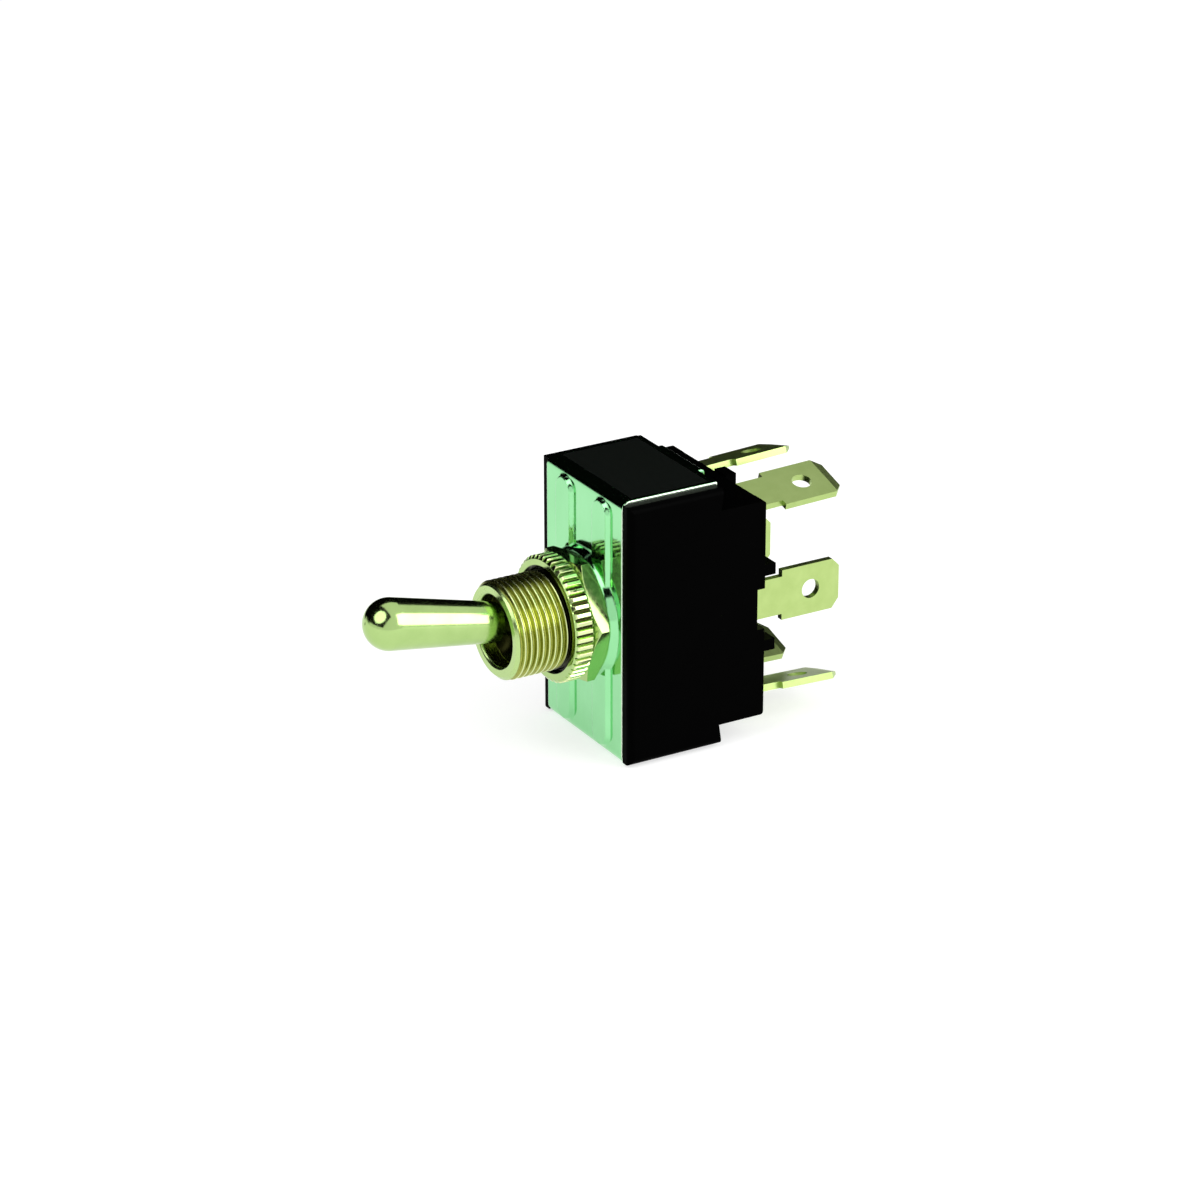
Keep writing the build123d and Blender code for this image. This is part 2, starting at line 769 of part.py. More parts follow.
# Pieces that repeat: right is the +X pole, upper and lower are the ends of the case
repeated = {}
for side, side_name in ((1, "right"), (-1, "left")):
    repeated[f"plunger_{side_name}"] = make_plunger(side)
    repeated[f"plunger_spring_{side_name}"] = make_spring(side)
    repeated[f"rocker_{side_name}"] = make_rocker(side)
    repeated[f"terminal_middle_{side_name}"] = make_middle_terminal(side)
    for level, level_name in ((1, "upper"), (-1, "lower")):
        repeated[f"terminal_{level_name}_{side_name}"] = make_end_terminal(side, level)
        repeated[f"fixed_contact_{level_name}_{side_name}"] = make_fixed_contact(side, level)
        repeated[f"moving_contact_{level_name}_{side_name}"] = make_moving_contact(side, level)

os.makedirs("parts", exist_ok=True)
export_step(case.part, "parts/case.step")
export_step(frame.part, "parts/frame.step")
export_step(liner.part, "parts/liner.step")
export_step(bushing.part, "parts/bushing.step")
export_step(hex_nut.part, "parts/hex_nut.step")
export_step(knurled_nut.part, "parts/knurled_nut.step")
export_step(lever.part, "parts/lever.step")
export_step(pivot_pin.part, "parts/pivot_pin.step")
export_step(holder.part, "parts/holder.step")
for name, piece in repeated.items():
    piece.label = name
    export_step(piece, f"parts/{name}.step")
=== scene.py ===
"""Looks of a panel toggle switch: plated metal, a threaded bushing, a moulded case and blade terminals.

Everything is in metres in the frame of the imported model: -Y out of the panel, +Y to the blades, +Z up.
Only the finishes are laid out in millimetres.
"""

import json
from math import asin, cos, pi, radians, sin, tan

import bpy
from mathutils import Matrix, Vector


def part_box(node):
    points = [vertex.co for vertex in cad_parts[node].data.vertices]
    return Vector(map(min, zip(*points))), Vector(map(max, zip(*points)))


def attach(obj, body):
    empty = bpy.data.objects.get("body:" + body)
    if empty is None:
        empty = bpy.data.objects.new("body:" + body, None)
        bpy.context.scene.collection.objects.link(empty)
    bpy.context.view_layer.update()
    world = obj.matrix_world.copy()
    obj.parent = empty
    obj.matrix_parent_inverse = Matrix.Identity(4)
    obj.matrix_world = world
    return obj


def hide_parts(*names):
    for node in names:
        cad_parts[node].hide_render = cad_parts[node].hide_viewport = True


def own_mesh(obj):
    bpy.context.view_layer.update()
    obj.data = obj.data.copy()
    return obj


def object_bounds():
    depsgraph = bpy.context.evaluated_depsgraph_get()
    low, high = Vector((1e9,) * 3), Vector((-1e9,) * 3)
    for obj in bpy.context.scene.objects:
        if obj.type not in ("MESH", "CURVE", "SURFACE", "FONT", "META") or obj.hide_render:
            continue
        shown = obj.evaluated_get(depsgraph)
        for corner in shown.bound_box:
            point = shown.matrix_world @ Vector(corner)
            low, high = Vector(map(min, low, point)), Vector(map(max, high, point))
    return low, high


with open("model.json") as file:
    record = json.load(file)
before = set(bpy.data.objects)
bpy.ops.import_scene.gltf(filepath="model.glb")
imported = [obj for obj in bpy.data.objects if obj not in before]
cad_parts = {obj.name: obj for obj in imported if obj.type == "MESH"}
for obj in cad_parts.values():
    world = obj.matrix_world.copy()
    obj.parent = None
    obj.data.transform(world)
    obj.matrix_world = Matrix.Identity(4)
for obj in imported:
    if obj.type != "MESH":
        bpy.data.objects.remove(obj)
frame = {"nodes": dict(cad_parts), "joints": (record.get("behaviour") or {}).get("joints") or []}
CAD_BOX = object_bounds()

bl_info = {
    "name": "Panel toggle switch",
    "version": (1, 0, 0),
    "blender": (4, 5, 0),
    "location": "View3D > Sidebar > Switch",
    "description": "Finishes and fine forms of a two-pole panel toggle switch",
    "category": "Object",
}

MM = 0.001
ACROSS, UPRIGHT = Vector((1, 0, 0)), Vector((0, 0, 1))
SIDES = (("right", 1), ("left", -1))

# Sockets of a Mix node that mixes colours, by number, because others have the same names
SHARE, UNDER, OVER, MIXED = 0, 6, 7, 2

# Marks seldom leave these values, so a range between them is used in full
FAINT, STRONG = 0.3, 0.7

# Edges sharper than this get a bevel
SHARP_EDGE = radians(30)


# Colours, nodes and patterns

def linear(code):
    """An sRGB hex colour as linear RGBA."""
    channels = [int(code[i:i + 2], 16) / 255 for i in (1, 3, 5)]
    return (*[c / 12.92 if c <= 0.04045 else ((c + 0.055) / 1.055) ** 2.4 for c in channels], 1.0)


def add_node(tree, kind, links=None, **settings):
    """Adds a node, sets its properties, and gives each listed input a value or a link."""
    node = tree.nodes.new(kind)
    for key, value in settings.items():
        setattr(node, key, value)
    for key, value in (links or {}).items():
        if isinstance(value, bpy.types.NodeSocket):
            tree.links.new(value, node.inputs[key])
        else:
            node.inputs[key].default_value = value
    return node


def new_finish(name):
    """A new material, its node tree and its shader."""
    finish = bpy.data.materials.new(name)
    finish.use_nodes = True
    tree = finish.node_tree
    tree.nodes.clear()
    shader = add_node(tree, "ShaderNodeBsdfPrincipled")
    add_node(tree, "ShaderNodeOutputMaterial", {"Surface": shader.outputs["BSDF"]})
    return finish, tree, shader


def place_in_mm(tree):
    """Where a point lies on the switch at rest, in millimetres."""
    place = add_node(tree, "ShaderNodeTexCoord")
    scaled = add_node(tree, "ShaderNodeVectorMath", {0: place.outputs["Object"], "Scale": 1 / MM},
                      operation="SCALE")
    return scaled.outputs["Vector"]


def corners_in_mm(node):
    """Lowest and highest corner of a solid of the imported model, in millimetres."""
    return [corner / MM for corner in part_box(node)]


def axis_distance(tree, place):
    """A point's distance from the bushing's axis, in millimetres."""
    axes = add_node(tree, "ShaderNodeSeparateXYZ", {"Vector": place})
    flat = add_node(tree, "ShaderNodeCombineXYZ", {"X": axes.outputs["X"], "Z": axes.outputs["Z"]})
    distance = add_node(tree, "ShaderNodeVectorMath", {0: flat.outputs["Vector"]}, operation="LENGTH")
    return distance.outputs["Value"]


def band(tree, value, low, high, soft):
    """A mask that is 1 where a value lies between low and high, and fades over soft outside them."""
    rise = add_node(tree, "ShaderNodeMapRange", {"Value": value, "From Min": low - soft, "From Max": low})
    fall = add_node(tree, "ShaderNodeMapRange", {"Value": value, "From Min": high, "From Max": high + soft,
                                                 "To Min": 1.0, "To Max": 0.0})
    inside = add_node(tree, "ShaderNodeMath", {0: rise.outputs["Result"], 1: fall.outputs["Result"]},
                      operation="MULTIPLY")
    return inside.outputs["Value"]


def marks(tree, place, size_mm, detail=3.0):
    """How strongly a surface is marked, where its marks are size_mm = (x, y, z) millimetres large."""
    spread = add_node(tree, "ShaderNodeVectorMath", {0: place, 1: [1 / size for size in size_mm]},
                      operation="MULTIPLY")
    uneven = add_node(tree, "ShaderNodeTexNoise", {"Vector": spread.outputs["Vector"], "Scale": 1.0,
                                                   "Detail": detail})
    return uneven.outputs["Fac"]


def layered(tree, colour, layers):
    """A colour with others over it in turn, each a hex code that shows as far as its mask does."""
    for mask, code in layers:
        mix = add_node(tree, "ShaderNodeMix", {SHARE: mask, UNDER: colour, OVER: linear(code)},
                       data_type="RGBA")
        colour = mix.outputs[MIXED]
    return colour


def patchy(tree, place, code, shade, patch_mm):
    """A colour that wanders into its shade in patches of about patch_mm = (x, y, z) millimetres."""
    return layered(tree, linear(code), [(marks(tree, place, patch_mm), shade)])


def dress_surface(tree, shader, colour, grain, roughness, bump_mm, edge_mm=0.0, metallic=1.0):
    """Sets a colour, and a grain that moves the roughness between two values and lifts the surface.

    With edge_mm, edges catch the light as if they were rounded that far. Returns the roughness.
    """
    smoothest, roughest = roughness
    gloss = add_node(tree, "ShaderNodeMapRange", {"Value": grain, "From Min": FAINT, "From Max": STRONG,
                                                  "To Min": smoothest, "To Max": roughest})
    relief = add_node(tree, "ShaderNodeBump", {"Height": grain, "Distance": bump_mm * MM})
    if edge_mm:
        rounded = add_node(tree, "ShaderNodeBevel", {"Radius": edge_mm * MM}, samples=6)
        tree.links.new(rounded.outputs["Normal"], relief.inputs["Normal"])
    tree.links.new(colour, shader.inputs["Base Color"])
    tree.links.new(gloss.outputs["Result"], shader.inputs["Roughness"])
    tree.links.new(relief.outputs["Normal"], shader.inputs["Normal"])
    shader.inputs["Metallic"].default_value = metallic
    return gloss.outputs["Result"]


# Finishes

def nickel_on_brass(look):
    """Bright nickel plate on turned brass: a warm, pale mirror, faintly blurred round the lever."""
    finish, tree, shader = new_finish("bright_nickel_on_turned_brass")
    place = place_in_mm(tree)
    colour = patchy(tree, place, look.nickel, look.nickel_shade, patch_mm=(2.5, 2.5, 2.5))
    # Turning marks lie a few hundredths apart, too fine to show. These are drawn 0.09 mm apart
    turning = marks(tree, place, size_mm=(1.2, 0.09, 1.2))
    dress_surface(tree, shader, colour, turning, roughness=(0.10, 0.19), bump_mm=0.002)
    return finish


def nickel_on_nuts(look, sizes):
    """Bright nickel plate on cut brass: a pale mirror, with the tips of the teeth paler still, by rubbing
    and a painted highlight.

    Painted shade, a dark colour between the teeth and in the countersink, sets each tooth off from the next.
    """
    finish, tree, shader = new_finish("bright_nickel_on_cut_brass")
    place = place_in_mm(tree)
    radius = axis_distance(tree, place)
    depth = add_node(tree, "ShaderNodeSeparateXYZ", {"Vector": place}).outputs["Y"]

    # Places on the toothed nut, in millimetres: radii from its axis and depths along it
    low, high = corners_in_mm("knurled_nut")
    front, back, tip = low.y, high.y, high.x
    gap = tip - sizes.tooth_depth / MM
    tip_pale_from, beyond_tip = tip - 0.15, tip + 0.35
    below_gap, gap_floor = gap - 0.23, gap + 0.005
    toothed = band(tree, depth, front - 0.1, back - 0.05, soft=0.03)
    between_ends = band(tree, depth, front + 0.18, back - 0.15, soft=0.03)
    near_tip = band(tree, radius, tip_pale_from, beyond_tip, soft=0.06)
    near_floor = band(tree, radius, below_gap, gap_floor, soft=0.03)
    countersunk = band(tree, radius, 0.0, sizes.countersink / MM, soft=0.12)

    # The tips of the teeth turn paler: rubbing, and a painted highlight
    tips = add_node(tree, "ShaderNodeMath", {0: near_tip, 1: toothed}, operation="MULTIPLY")
    gaps = add_node(tree, "ShaderNodeMath", {0: near_floor, 1: between_ends}, operation="MULTIPLY")
    # Painted shade: a dark colour in the gaps between the teeth and in the countersink
    painted_shade_mask = add_node(tree, "ShaderNodeMath", {0: countersunk, 1: gaps.outputs["Value"]}, operation="MAXIMUM")
    plate = patchy(tree, place, look.nickel, look.nickel_shade, patch_mm=(2.5, 2.5, 2.5))
    colour = layered(tree, plate, ((tips.outputs["Value"], look.crest), (painted_shade_mask.outputs["Value"], look.painted_shade)))
    # The plate's own grain is finer than this, and is drawn 0.5 mm large to show at all
    grain = marks(tree, place, size_mm=(0.5, 0.5, 0.5))
    dress_surface(tree, shader, colour, grain, roughness=(0.10, 0.19), bump_mm=0.002, edge_mm=0.12)
    return finish


def nickel_on_thread(look, sizes):
    """Nickel plate on a cut thread: duller and browner in the grooves, paler on the crests by wear and a
    painted highlight.

    Painted shade darkens the mouth, and the part that the nuts hide down to the shade at their edge.
    """
    finish, tree, shader = new_finish("nickel_on_cut_thread_with_wear_and_painted_light")
    place = place_in_mm(tree)
    radius = axis_distance(tree, place)
    depth = add_node(tree, "ShaderNodeSeparateXYZ", {"Vector": place}).outputs["Y"]

    # Places on the bushing, in millimetres: radii from its axis and depths along it
    crest, front = sizes.crest_radius / MM, -sizes.bushing_front / MM
    crest_pale_from, crest_pale_through = crest - 0.093, crest - 0.023
    inside_mouth = sizes.mouth_radius / MM - 0.08
    ring_front = corners_in_mm("knurled_nut")[0].y - 0.2
    flange_back = corners_in_mm("bushing")[1].y
    rim = band(tree, depth, front - 0.1, front + 0.38, soft=0.12)
    mouth = band(tree, radius, 0.0, inside_mouth, soft=0.08)
    inside_nuts = band(tree, depth, ring_front, flange_back, soft=0.1)

    # The crests turn paler: wear, and a painted highlight
    wear_and_highlight = add_node(tree, "ShaderNodeMapRange", {"Value": radius, "From Min": crest_pale_from,
                                                 "From Max": crest_pale_through})
    # Painted shade: a dark colour in the mouth and where the nuts hide the thread
    painted_shade_mask = add_node(tree, "ShaderNodeMath", {0: mouth, 1: inside_nuts}, operation="MAXIMUM")
    grooves = patchy(tree, place, look.thread, look.thread_shade, patch_mm=(1.6, 0.5, 1.6))
    colour = layered(tree, grooves, ((wear_and_highlight.outputs["Result"], look.crest), (rim, look.nickel),
                                     (painted_shade_mask.outputs["Value"], look.painted_shade)))
    # The cutter's marks run with the thread, a few hundredths apart. These are drawn 0.12 mm apart
    cutting = marks(tree, place, size_mm=(1.2, 0.12, 1.2))
    dress_surface(tree, shader, colour, cutting, roughness=(0.20, 0.30), bump_mm=0.0008)
    return finish


def nickel_sheet(look, sizes):
    """Bright nickel plate on rolled steel sheet: a cooler, greener mirror, its cut edges duller and paler,
    partly by a painted highlight.

    A plain field of dark, satin screen ink covers its top flap.
    """
    finish, tree, shader = new_finish("bright_nickel_on_rolled_sheet")
    place = place_in_mm(tree)
    axes = add_node(tree, "ShaderNodeSeparateXYZ", {"Vector": place})
    from_middle = add_node(tree, "ShaderNodeMath", {0: axes.outputs["X"]}, operation="ABSOLUTE")

    # Places on the frame, in millimetres from the middle of its plate
    side, top = corners_in_mm("frame")[1].x, corners_in_mm("frame")[1].z
    field_side = sizes.field_width / 2 / MM
    edge_roughness, ink_roughness = 0.26, 0.32

    # The cut edges are paler: bare sheared metal, and a painted highlight
    sheared = band(tree, from_middle.outputs["Value"], side - 0.015, side + 0.1, soft=0.01)
    plate = patchy(tree, place, look.sheet, look.sheet_shade, patch_mm=(6.0, 6.0, 9.0))
    colour = layered(tree, plate, [(sheared, look.sheared_edge)])
    # Rolled sheet keeps a grain of a few hundredths under its plate. It is drawn 0.14 mm large to show
    rolling = marks(tree, place, size_mm=(0.14, 0.14, 0.14))
    gloss = dress_surface(tree, shader, colour, rolling, roughness=(0.05, 0.12), bump_mm=0.0012, edge_mm=0.3)
    dull = add_node(tree, "ShaderNodeMapRange", {"Value": sheared, "To Min": gloss,
                                                 "To Max": edge_roughness})
    tree.links.new(dull.outputs["Result"], shader.inputs["Roughness"])

    across = band(tree, axes.outputs["X"], -field_side, field_side, soft=0.08)
    along = band(tree, axes.outputs["Y"], sizes.field_front / MM, sizes.field_back / MM, soft=0.08)
    on_top = band(tree, axes.outputs["Z"], top - 0.15, top + 0.45, soft=0.02)
    flat = add_node(tree, "ShaderNodeMath", {0: across, 1: along}, operation="MULTIPLY")
    field = add_node(tree, "ShaderNodeMath", {0: flat.outputs["Value"], 1: on_top}, operation="MULTIPLY")
    ink = add_node(tree, "ShaderNodeBsdfPrincipled", {"Base Color": linear(look.ink),
                                                      "Roughness": ink_roughness})
    both = add_node(tree, "ShaderNodeMixShader", {0: field.outputs["Value"], 1: shader.outputs["BSDF"],
                                                  2: ink.outputs["BSDF"]})
    tree.links.new(both.outputs["Shader"], tree.get_output_node("ALL").inputs["Surface"])
    return finish


def phenolic(look):
    """Moulded phenolic: near black all over, satin, with almost no highlight and a very fine mottle."""
    finish, tree, shader = new_finish("moulded_black_phenolic")
    place = place_in_mm(tree)
    colour = patchy(tree, place, look.case, look.case_shade, patch_mm=(3.0, 3.0, 3.0))
    # A moulding's mottle is about 0.1 mm large, and is drawn at 0.35 mm to show
    mottle = marks(tree, place, size_mm=(0.35, 0.35, 0.35), detail=4.0)
    dress_surface(tree, shader, colour, mottle, roughness=(0.34, 0.46), bump_mm=0.008, metallic=0.0)
    shader.inputs["Specular IOR Level"].default_value = 0.008
    return finish


def tinned_blade(look, upright):
    """Tin plate on stamped brass strip: soft and satin, with the strip's rolling grain across the blade."""
    finish, tree, shader = new_finish("tin_on_stamped_brass_" + ("upright" if upright else "leaning"))
    place = place_in_mm(tree)
    colour = patchy(tree, place, look.blade, look.blade_shade, patch_mm=(1.5, 1.5, 1.5))
    # Rolling lines are finer than this, and are drawn 0.07 mm apart and 2.2 mm long
    apart, long, thick = 0.07, 2.2, 0.9
    rolling = marks(tree, place, size_mm=(thick, apart, long) if upright else (long, apart, thick))
    dress_surface(tree, shader, colour, rolling, roughness=(0.28, 0.36), bump_mm=0.001)
    return finish


def plain_metal(name, light, dark, roughness):
    """A coined, formed, drawn or turned metal of the inner pieces: satin, with fine marks of its making."""
    finish, tree, shader = new_finish(name)
    place = place_in_mm(tree)
    colour = patchy(tree, place, light, dark, patch_mm=(0.8, 0.8, 0.8))
    # The tool's marks are drawn 0.08 mm apart, coarser than they are
    tooling = marks(tree, place, size_mm=(0.6, 0.08, 0.6))
    dress_surface(tree, shader, colour, tooling, roughness, bump_mm=0.003)
    return finish


def plain_insulator(name, light, dark, roughness, mottle_mm):
    """Moulded or pressed insulation of the inner pieces: matt, with a mottle of two near shades."""
    finish, tree, shader = new_finish(name)
    mottle = marks(tree, place_in_mm(tree), size_mm=(mottle_mm,) * 3, detail=4.0)
    tree.links.new(layered(tree, linear(light), [(mottle, dark)]), shader.inputs["Base Color"])
    relief = add_node(tree, "ShaderNodeBump", {"Height": mottle, "Distance": 0.01 * MM})
    tree.links.new(relief.outputs["Normal"], shader.inputs["Normal"])
    shader.inputs["Roughness"].default_value = roughness
    return finish


# Pieces and fine forms

def dress(node, finish, bevel_mm=0.0):
    """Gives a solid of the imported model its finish, and a fine bevel on its sharp edges."""
    solid = frame["nodes"][node]
    solid.data.materials.clear()
    solid.data.materials.append(finish)
    if bevel_mm:
        edge = solid.modifiers.new("edge", "BEVEL")
        edge.width = bevel_mm * MM
        edge.segments = 2
        edge.limit_method = "ANGLE"
        edge.angle_limit = SHARP_EDGE


def add_piece(name, body, finish, vertices, faces, smooth_angle):
    """A new piece from points in metres, riding on a body of the model."""
    mesh = bpy.data.meshes.new(name)
    mesh.from_pydata(vertices, [], faces)
    mesh.validate()
    mesh.shade_smooth()
    mesh.set_sharp_from_angle(angle=smooth_angle)
    mesh.materials.append(finish)
    piece = bpy.data.objects.new(name, mesh)
    bpy.context.scene.collection.objects.link(piece)
    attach(piece, body)
    return piece


def joint(name):
    """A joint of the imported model, by its name."""
    return next(j for j in frame["joints"] if j["name"] == name)


def thread_radius_at(sizes, y, turn):
    """The radius of the helical thread at a place along the bushing and round it."""
    half_root_flat = 0.1 * MM
    flank = radians(30)
    turns = (y + sizes.first_groove) / sizes.thread_pitch - (turn - sizes.thread_turn) / (2 * pi)
    phase = turns % 1.0
    from_root = min(phase, 1.0 - phase) * sizes.thread_pitch
    rise = max(0.0, from_root - half_root_flat) / tan(flank)
    radius = sizes.crest_radius - sizes.thread_depth + min(rise, sizes.thread_depth)
    chamfered = sizes.crest_radius - sizes.chamfer + (y + sizes.bushing_front)
    return min(radius, chamfered)


def threaded_bushing(sizes):
    """Points and faces of the bushing: a helical thread outside, the mouth and the ball seat inside."""
    steps_round, rows_in_a_turn, seat_steps = 160, 16, 8
    # A row this near an edge keeps the shading beside it flat
    edge_row = 0.03 * MM
    flange_back, flange_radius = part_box("bushing")[1].y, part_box("bushing")[1].x
    flange_front = -0.1 * MM
    # Inside the nuts the bushing is plain, at 0.6 of the thread's depth, as its solid is
    engaged = sizes.crest_radius - 0.6 * sizes.thread_depth
    front, back = -sizes.bushing_front, -sizes.thread_back
    mouth, bevel, mouth_end = sizes.mouth_radius, sizes.mouth_bevel, front + sizes.mouth_depth

    # The section as pairs of a depth and a radius, which is None on the thread
    section = [(flange_back, flange_radius), (flange_front, flange_radius), (flange_front, engaged),
               (back, engaged)]
    rows = round((back - front) / sizes.thread_pitch * rows_in_a_turn)
    section += [(back + (front - back) * i / rows, None) for i in range(rows + 1)]
    section += [(front, sizes.crest_radius - sizes.chamfer - edge_row), (front, mouth + bevel + edge_row),
                (front, mouth + bevel), (front + bevel, mouth), (front + bevel + edge_row, mouth),
                (mouth_end - edge_row, mouth), (mouth_end, mouth)]
    seat_centre = joint("lever_pivot")["pos_m"][1]
    throat_angle = asin(sizes.throat_radius / sizes.seat_radius)
    for i in range(seat_steps + 1):
        angle = throat_angle + (pi / 2 - throat_angle) * i / seat_steps
        section.append((seat_centre - sizes.seat_radius * cos(angle), sizes.seat_radius * sin(angle)))
    section.append((flange_back, sizes.seat_radius))

    vertices, faces = [], []
    for i, (y, radius) in enumerate(section):
        a, b = i * steps_round, (i + 1) % len(section) * steps_round
        for k in range(steps_round):
            turn = 2 * pi * k / steps_round
            r = thread_radius_at(sizes, y, turn) if radius is None else radius
            vertices.append((r * sin(turn), y, r * cos(turn)))
            n = (k + 1) % steps_round
            faces.append((a + k, a + n, b + n, b + k))
    return vertices, faces


def coil_spring(sizes, seat, along):
    """Points and faces of a plunger's spring: round wire whose end turns are wound close."""
    steps_in_a_turn, wire_sides = 28, 10
    # Turns that lie closed at each end, and turns over which the coil then opens
    closed, opening = 0.6, 0.3
    # How steeply closed turns climb, and how much more the open ones do, before the height scales both
    closed_climb, extra_climb = 1.02, 0.6
    steps = round(sizes.spring_turns * steps_in_a_turn)
    rises = [0.0]
    for i in range(steps):
        turns_from_end = min(i, steps - 1 - i) / steps_in_a_turn
        opened = min(max((turns_from_end - closed) / opening, 0.0), 1.0)
        rises.append(rises[-1] + closed_climb + extra_climb * opened)
    height = sizes.spring_length - 2 * (sizes.spring_wire + sizes.spring_gap)
    upward = along.cross(ACROSS)
    vertices = []
    for i, rise in enumerate(rises):
        turn = 2 * pi * i / steps_in_a_turn
        outward = ACROSS * cos(turn) + upward * sin(turn)
        lift = sizes.spring_gap + sizes.spring_wire + height * rise / rises[-1]
        centre = seat + along * lift + outward * sizes.spring_coil
        for k in range(wire_sides):
            around = 2 * pi * k / wire_sides
            vertices.append(centre + (outward * cos(around) + along * sin(around)) * sizes.spring_wire)
    first_end = tuple(range(wire_sides))
    last_end = tuple(reversed(range(steps * wire_sides, (steps + 1) * wire_sides)))
    faces = [first_end, last_end]
    for i in range(steps):
        a, b = i * wire_sides, (i + 1) * wire_sides
        for k in range(wire_sides):
            n = (k + 1) % wire_sides
            faces.append((a + n, a + k, b + k, b + n))
    return vertices, faces


# Settings that a user would change

def hex_colour(name, code, note):
    """A colour setting kept as a hex code."""
    return bpy.props.StringProperty(name=name, description=note, default=code, maxlen=7)


def length(name, value_mm, note):
    """A length setting, in metres, whose default is given in millimetres."""
    return bpy.props.FloatProperty(name=name, description=note, default=value_mm * MM, unit="LENGTH",
                                   precision=5)


def angle(name, degrees, note):
    """An angle setting, whose default is given in degrees."""
    return bpy.props.FloatProperty(name=name, description=note, default=radians(degrees), subtype="ANGLE")


def amount(name, value, note, unit="NONE"):
    """A count, a strength or a power."""
    return bpy.props.FloatProperty(name=name, description=note, default=value, unit=unit)


class SwitchLooks(bpy.types.PropertyGroup):
    """Colours of the finishes, as sRGB hex codes."""
    nickel: hex_colour("Nickel", "#B4D088", "Bright nickel of the lever and the nuts")
    nickel_shade: hex_colour("Nickel shade", "#A0C074", "Darker patches of the same nickel")
    thread: hex_colour("Thread", "#B4BA5A", "Grooves of the bushing's thread")
    thread_shade: hex_colour("Thread shade", "#727B30", "Darker patches in the grooves")
    # Paler crests and tooth tips: rubbing, and a painted highlight
    crest: hex_colour("Crest", "#DCE8AA", "Rubbed crests of the thread and tips of the teeth")
    # Painted shade: a dark colour in the bushing's mouth, the countersink and the teeth's gaps
    painted_shade: hex_colour("Oil", "#23240E", "Oil in the bushing's mouth, the countersink and the teeth's gaps")
    sheet: hex_colour("Sheet", "#A2E5AC", "Nickel of the frame's sheet")
    sheet_shade: hex_colour("Sheet shade", "#88D291", "Darker patches of the sheet")
    # Paler cut edges: bare sheared metal, and a painted highlight
    sheared_edge: hex_colour("Sheared edge", "#E4F7DE", "Cut edges of the sheet")
    ink: hex_colour("Ink", "#060A07", "Dark field on the top flap")
    case: hex_colour("Case", "#010101", "Black phenolic")
    case_shade: hex_colour("Case shade", "#020202", "Paler patches of the phenolic")
    blade: hex_colour("Blade", "#BAD185", "Tin of the blades")
    blade_shade: hex_colour("Blade shade", "#A7C072", "Darker patches of the tin")


class SwitchSizes(bpy.types.PropertyGroup):
    """Sizes of the fine forms and of the places that the finishes follow."""
    crest_radius: length("Crest radius", 5.953, "Radius over the crests of the bushing's thread")
    thread_depth: length("Thread depth", 0.42, "Depth of the thread's grooves")
    thread_pitch: length("Thread pitch", 0.794, "Advance of the thread in one turn")
    bushing_front: length("Bushing front", 12.1, "Distance of the bushing's rim from the plate's face")
    thread_back: length("Thread back", 4.6, "Distance of the thread's inner end from the plate's face")
    first_groove: length("First groove", 5.2, "Distance of the thread's first groove from the plate's face")
    thread_turn: angle("Thread turn", 63, "Place round the bushing where the first groove starts")
    chamfer: length("Chamfer", 0.55, "Bevel at the thread's start")
    mouth_radius: length("Mouth radius", 4.3, "Radius of the bushing's mouth")
    mouth_depth: length("Mouth depth", 1.9, "Depth of the bushing's mouth")
    mouth_bevel: length("Mouth bevel", 0.3, "Bevel on the mouth's rim")
    seat_radius: length("Seat radius", 3.65, "Radius of the seat that holds the lever's ball")
    throat_radius: length("Throat radius", 2.501, "Radius of the opening between the mouth and the seat")
    tooth_depth: length("Tooth depth", 0.42, "Depth of the gaps between the nut's teeth")
    # Painted shade fills the toothed nut's countersink out to this radius
    countersink: length("Countersink", 6.42, "Radius out to which oil lies in the toothed nut's countersink")
    field_width: length("Field width", 15.8, "Width of the dark field on the top flap")
    field_front: length("Field front", 1.7, "Distance of the dark field's front from the plate's face")
    field_back: length("Field back", 11.9, "Distance of the dark field's back from the plate's face")
    pole: length("Pole", 4.55, "Distance of each plunger's axis from the middle of the switch")
    spring_seat: length("Spring seat", 9.6, "Distance of the springs' seat from the lever's pivot")
    spring_length: length("Spring length", 3.0, "Room for a plunger's spring at rest")
    spring_gap: length("Spring gap", 0.02, "Clearance at each end of a spring")
    spring_coil: length("Spring coil", 1.15, "Radius of a spring's turns at the middle of the wire")
    spring_wire: length("Spring wire", 0.2, "Radius of a spring's wire")
    spring_turns: amount("Spring turns", 4.5, "Turns in a plunger's spring")


class SwitchStage(bpy.types.PropertyGroup):
    """Camera, floor and light of the picture."""
    azimuth: angle("Azimuth", 59.765, "Camera's turn about the vertical")
    elevation: angle("Elevation", 23.512, "Camera's height above the horizon")
    roll: angle("Roll", -0.057, "Camera's roll")
    distance: length("Distance", 504.833, "Camera's distance from its target")
    target_x: length("Target X", 3.713, "Camera's target along X")
    target_z: length("Target Z", 2.705, "Camera's target along Z")
    focal: bpy.props.FloatProperty(name="Focal length", description="Lens in millimetres on a 36 mm sensor",
                                   default=130.728, subtype="DISTANCE_CAMERA")
    floor: hex_colour("Floor", "#BCBCBC", "Paper of the floor, before its glow")
    floor_glow: amount("Floor glow", 0.62, "Light that the floor adds where it is seen")
    fill: amount("Fill", 0.6, "Light of the room on the switch")
    front_power: amount("Front power", 1.2, "Round softbox in front and above", unit="POWER")
    side_power: amount("Side power", 1.6, "Long softbox on the right", unit="POWER")


# Operators

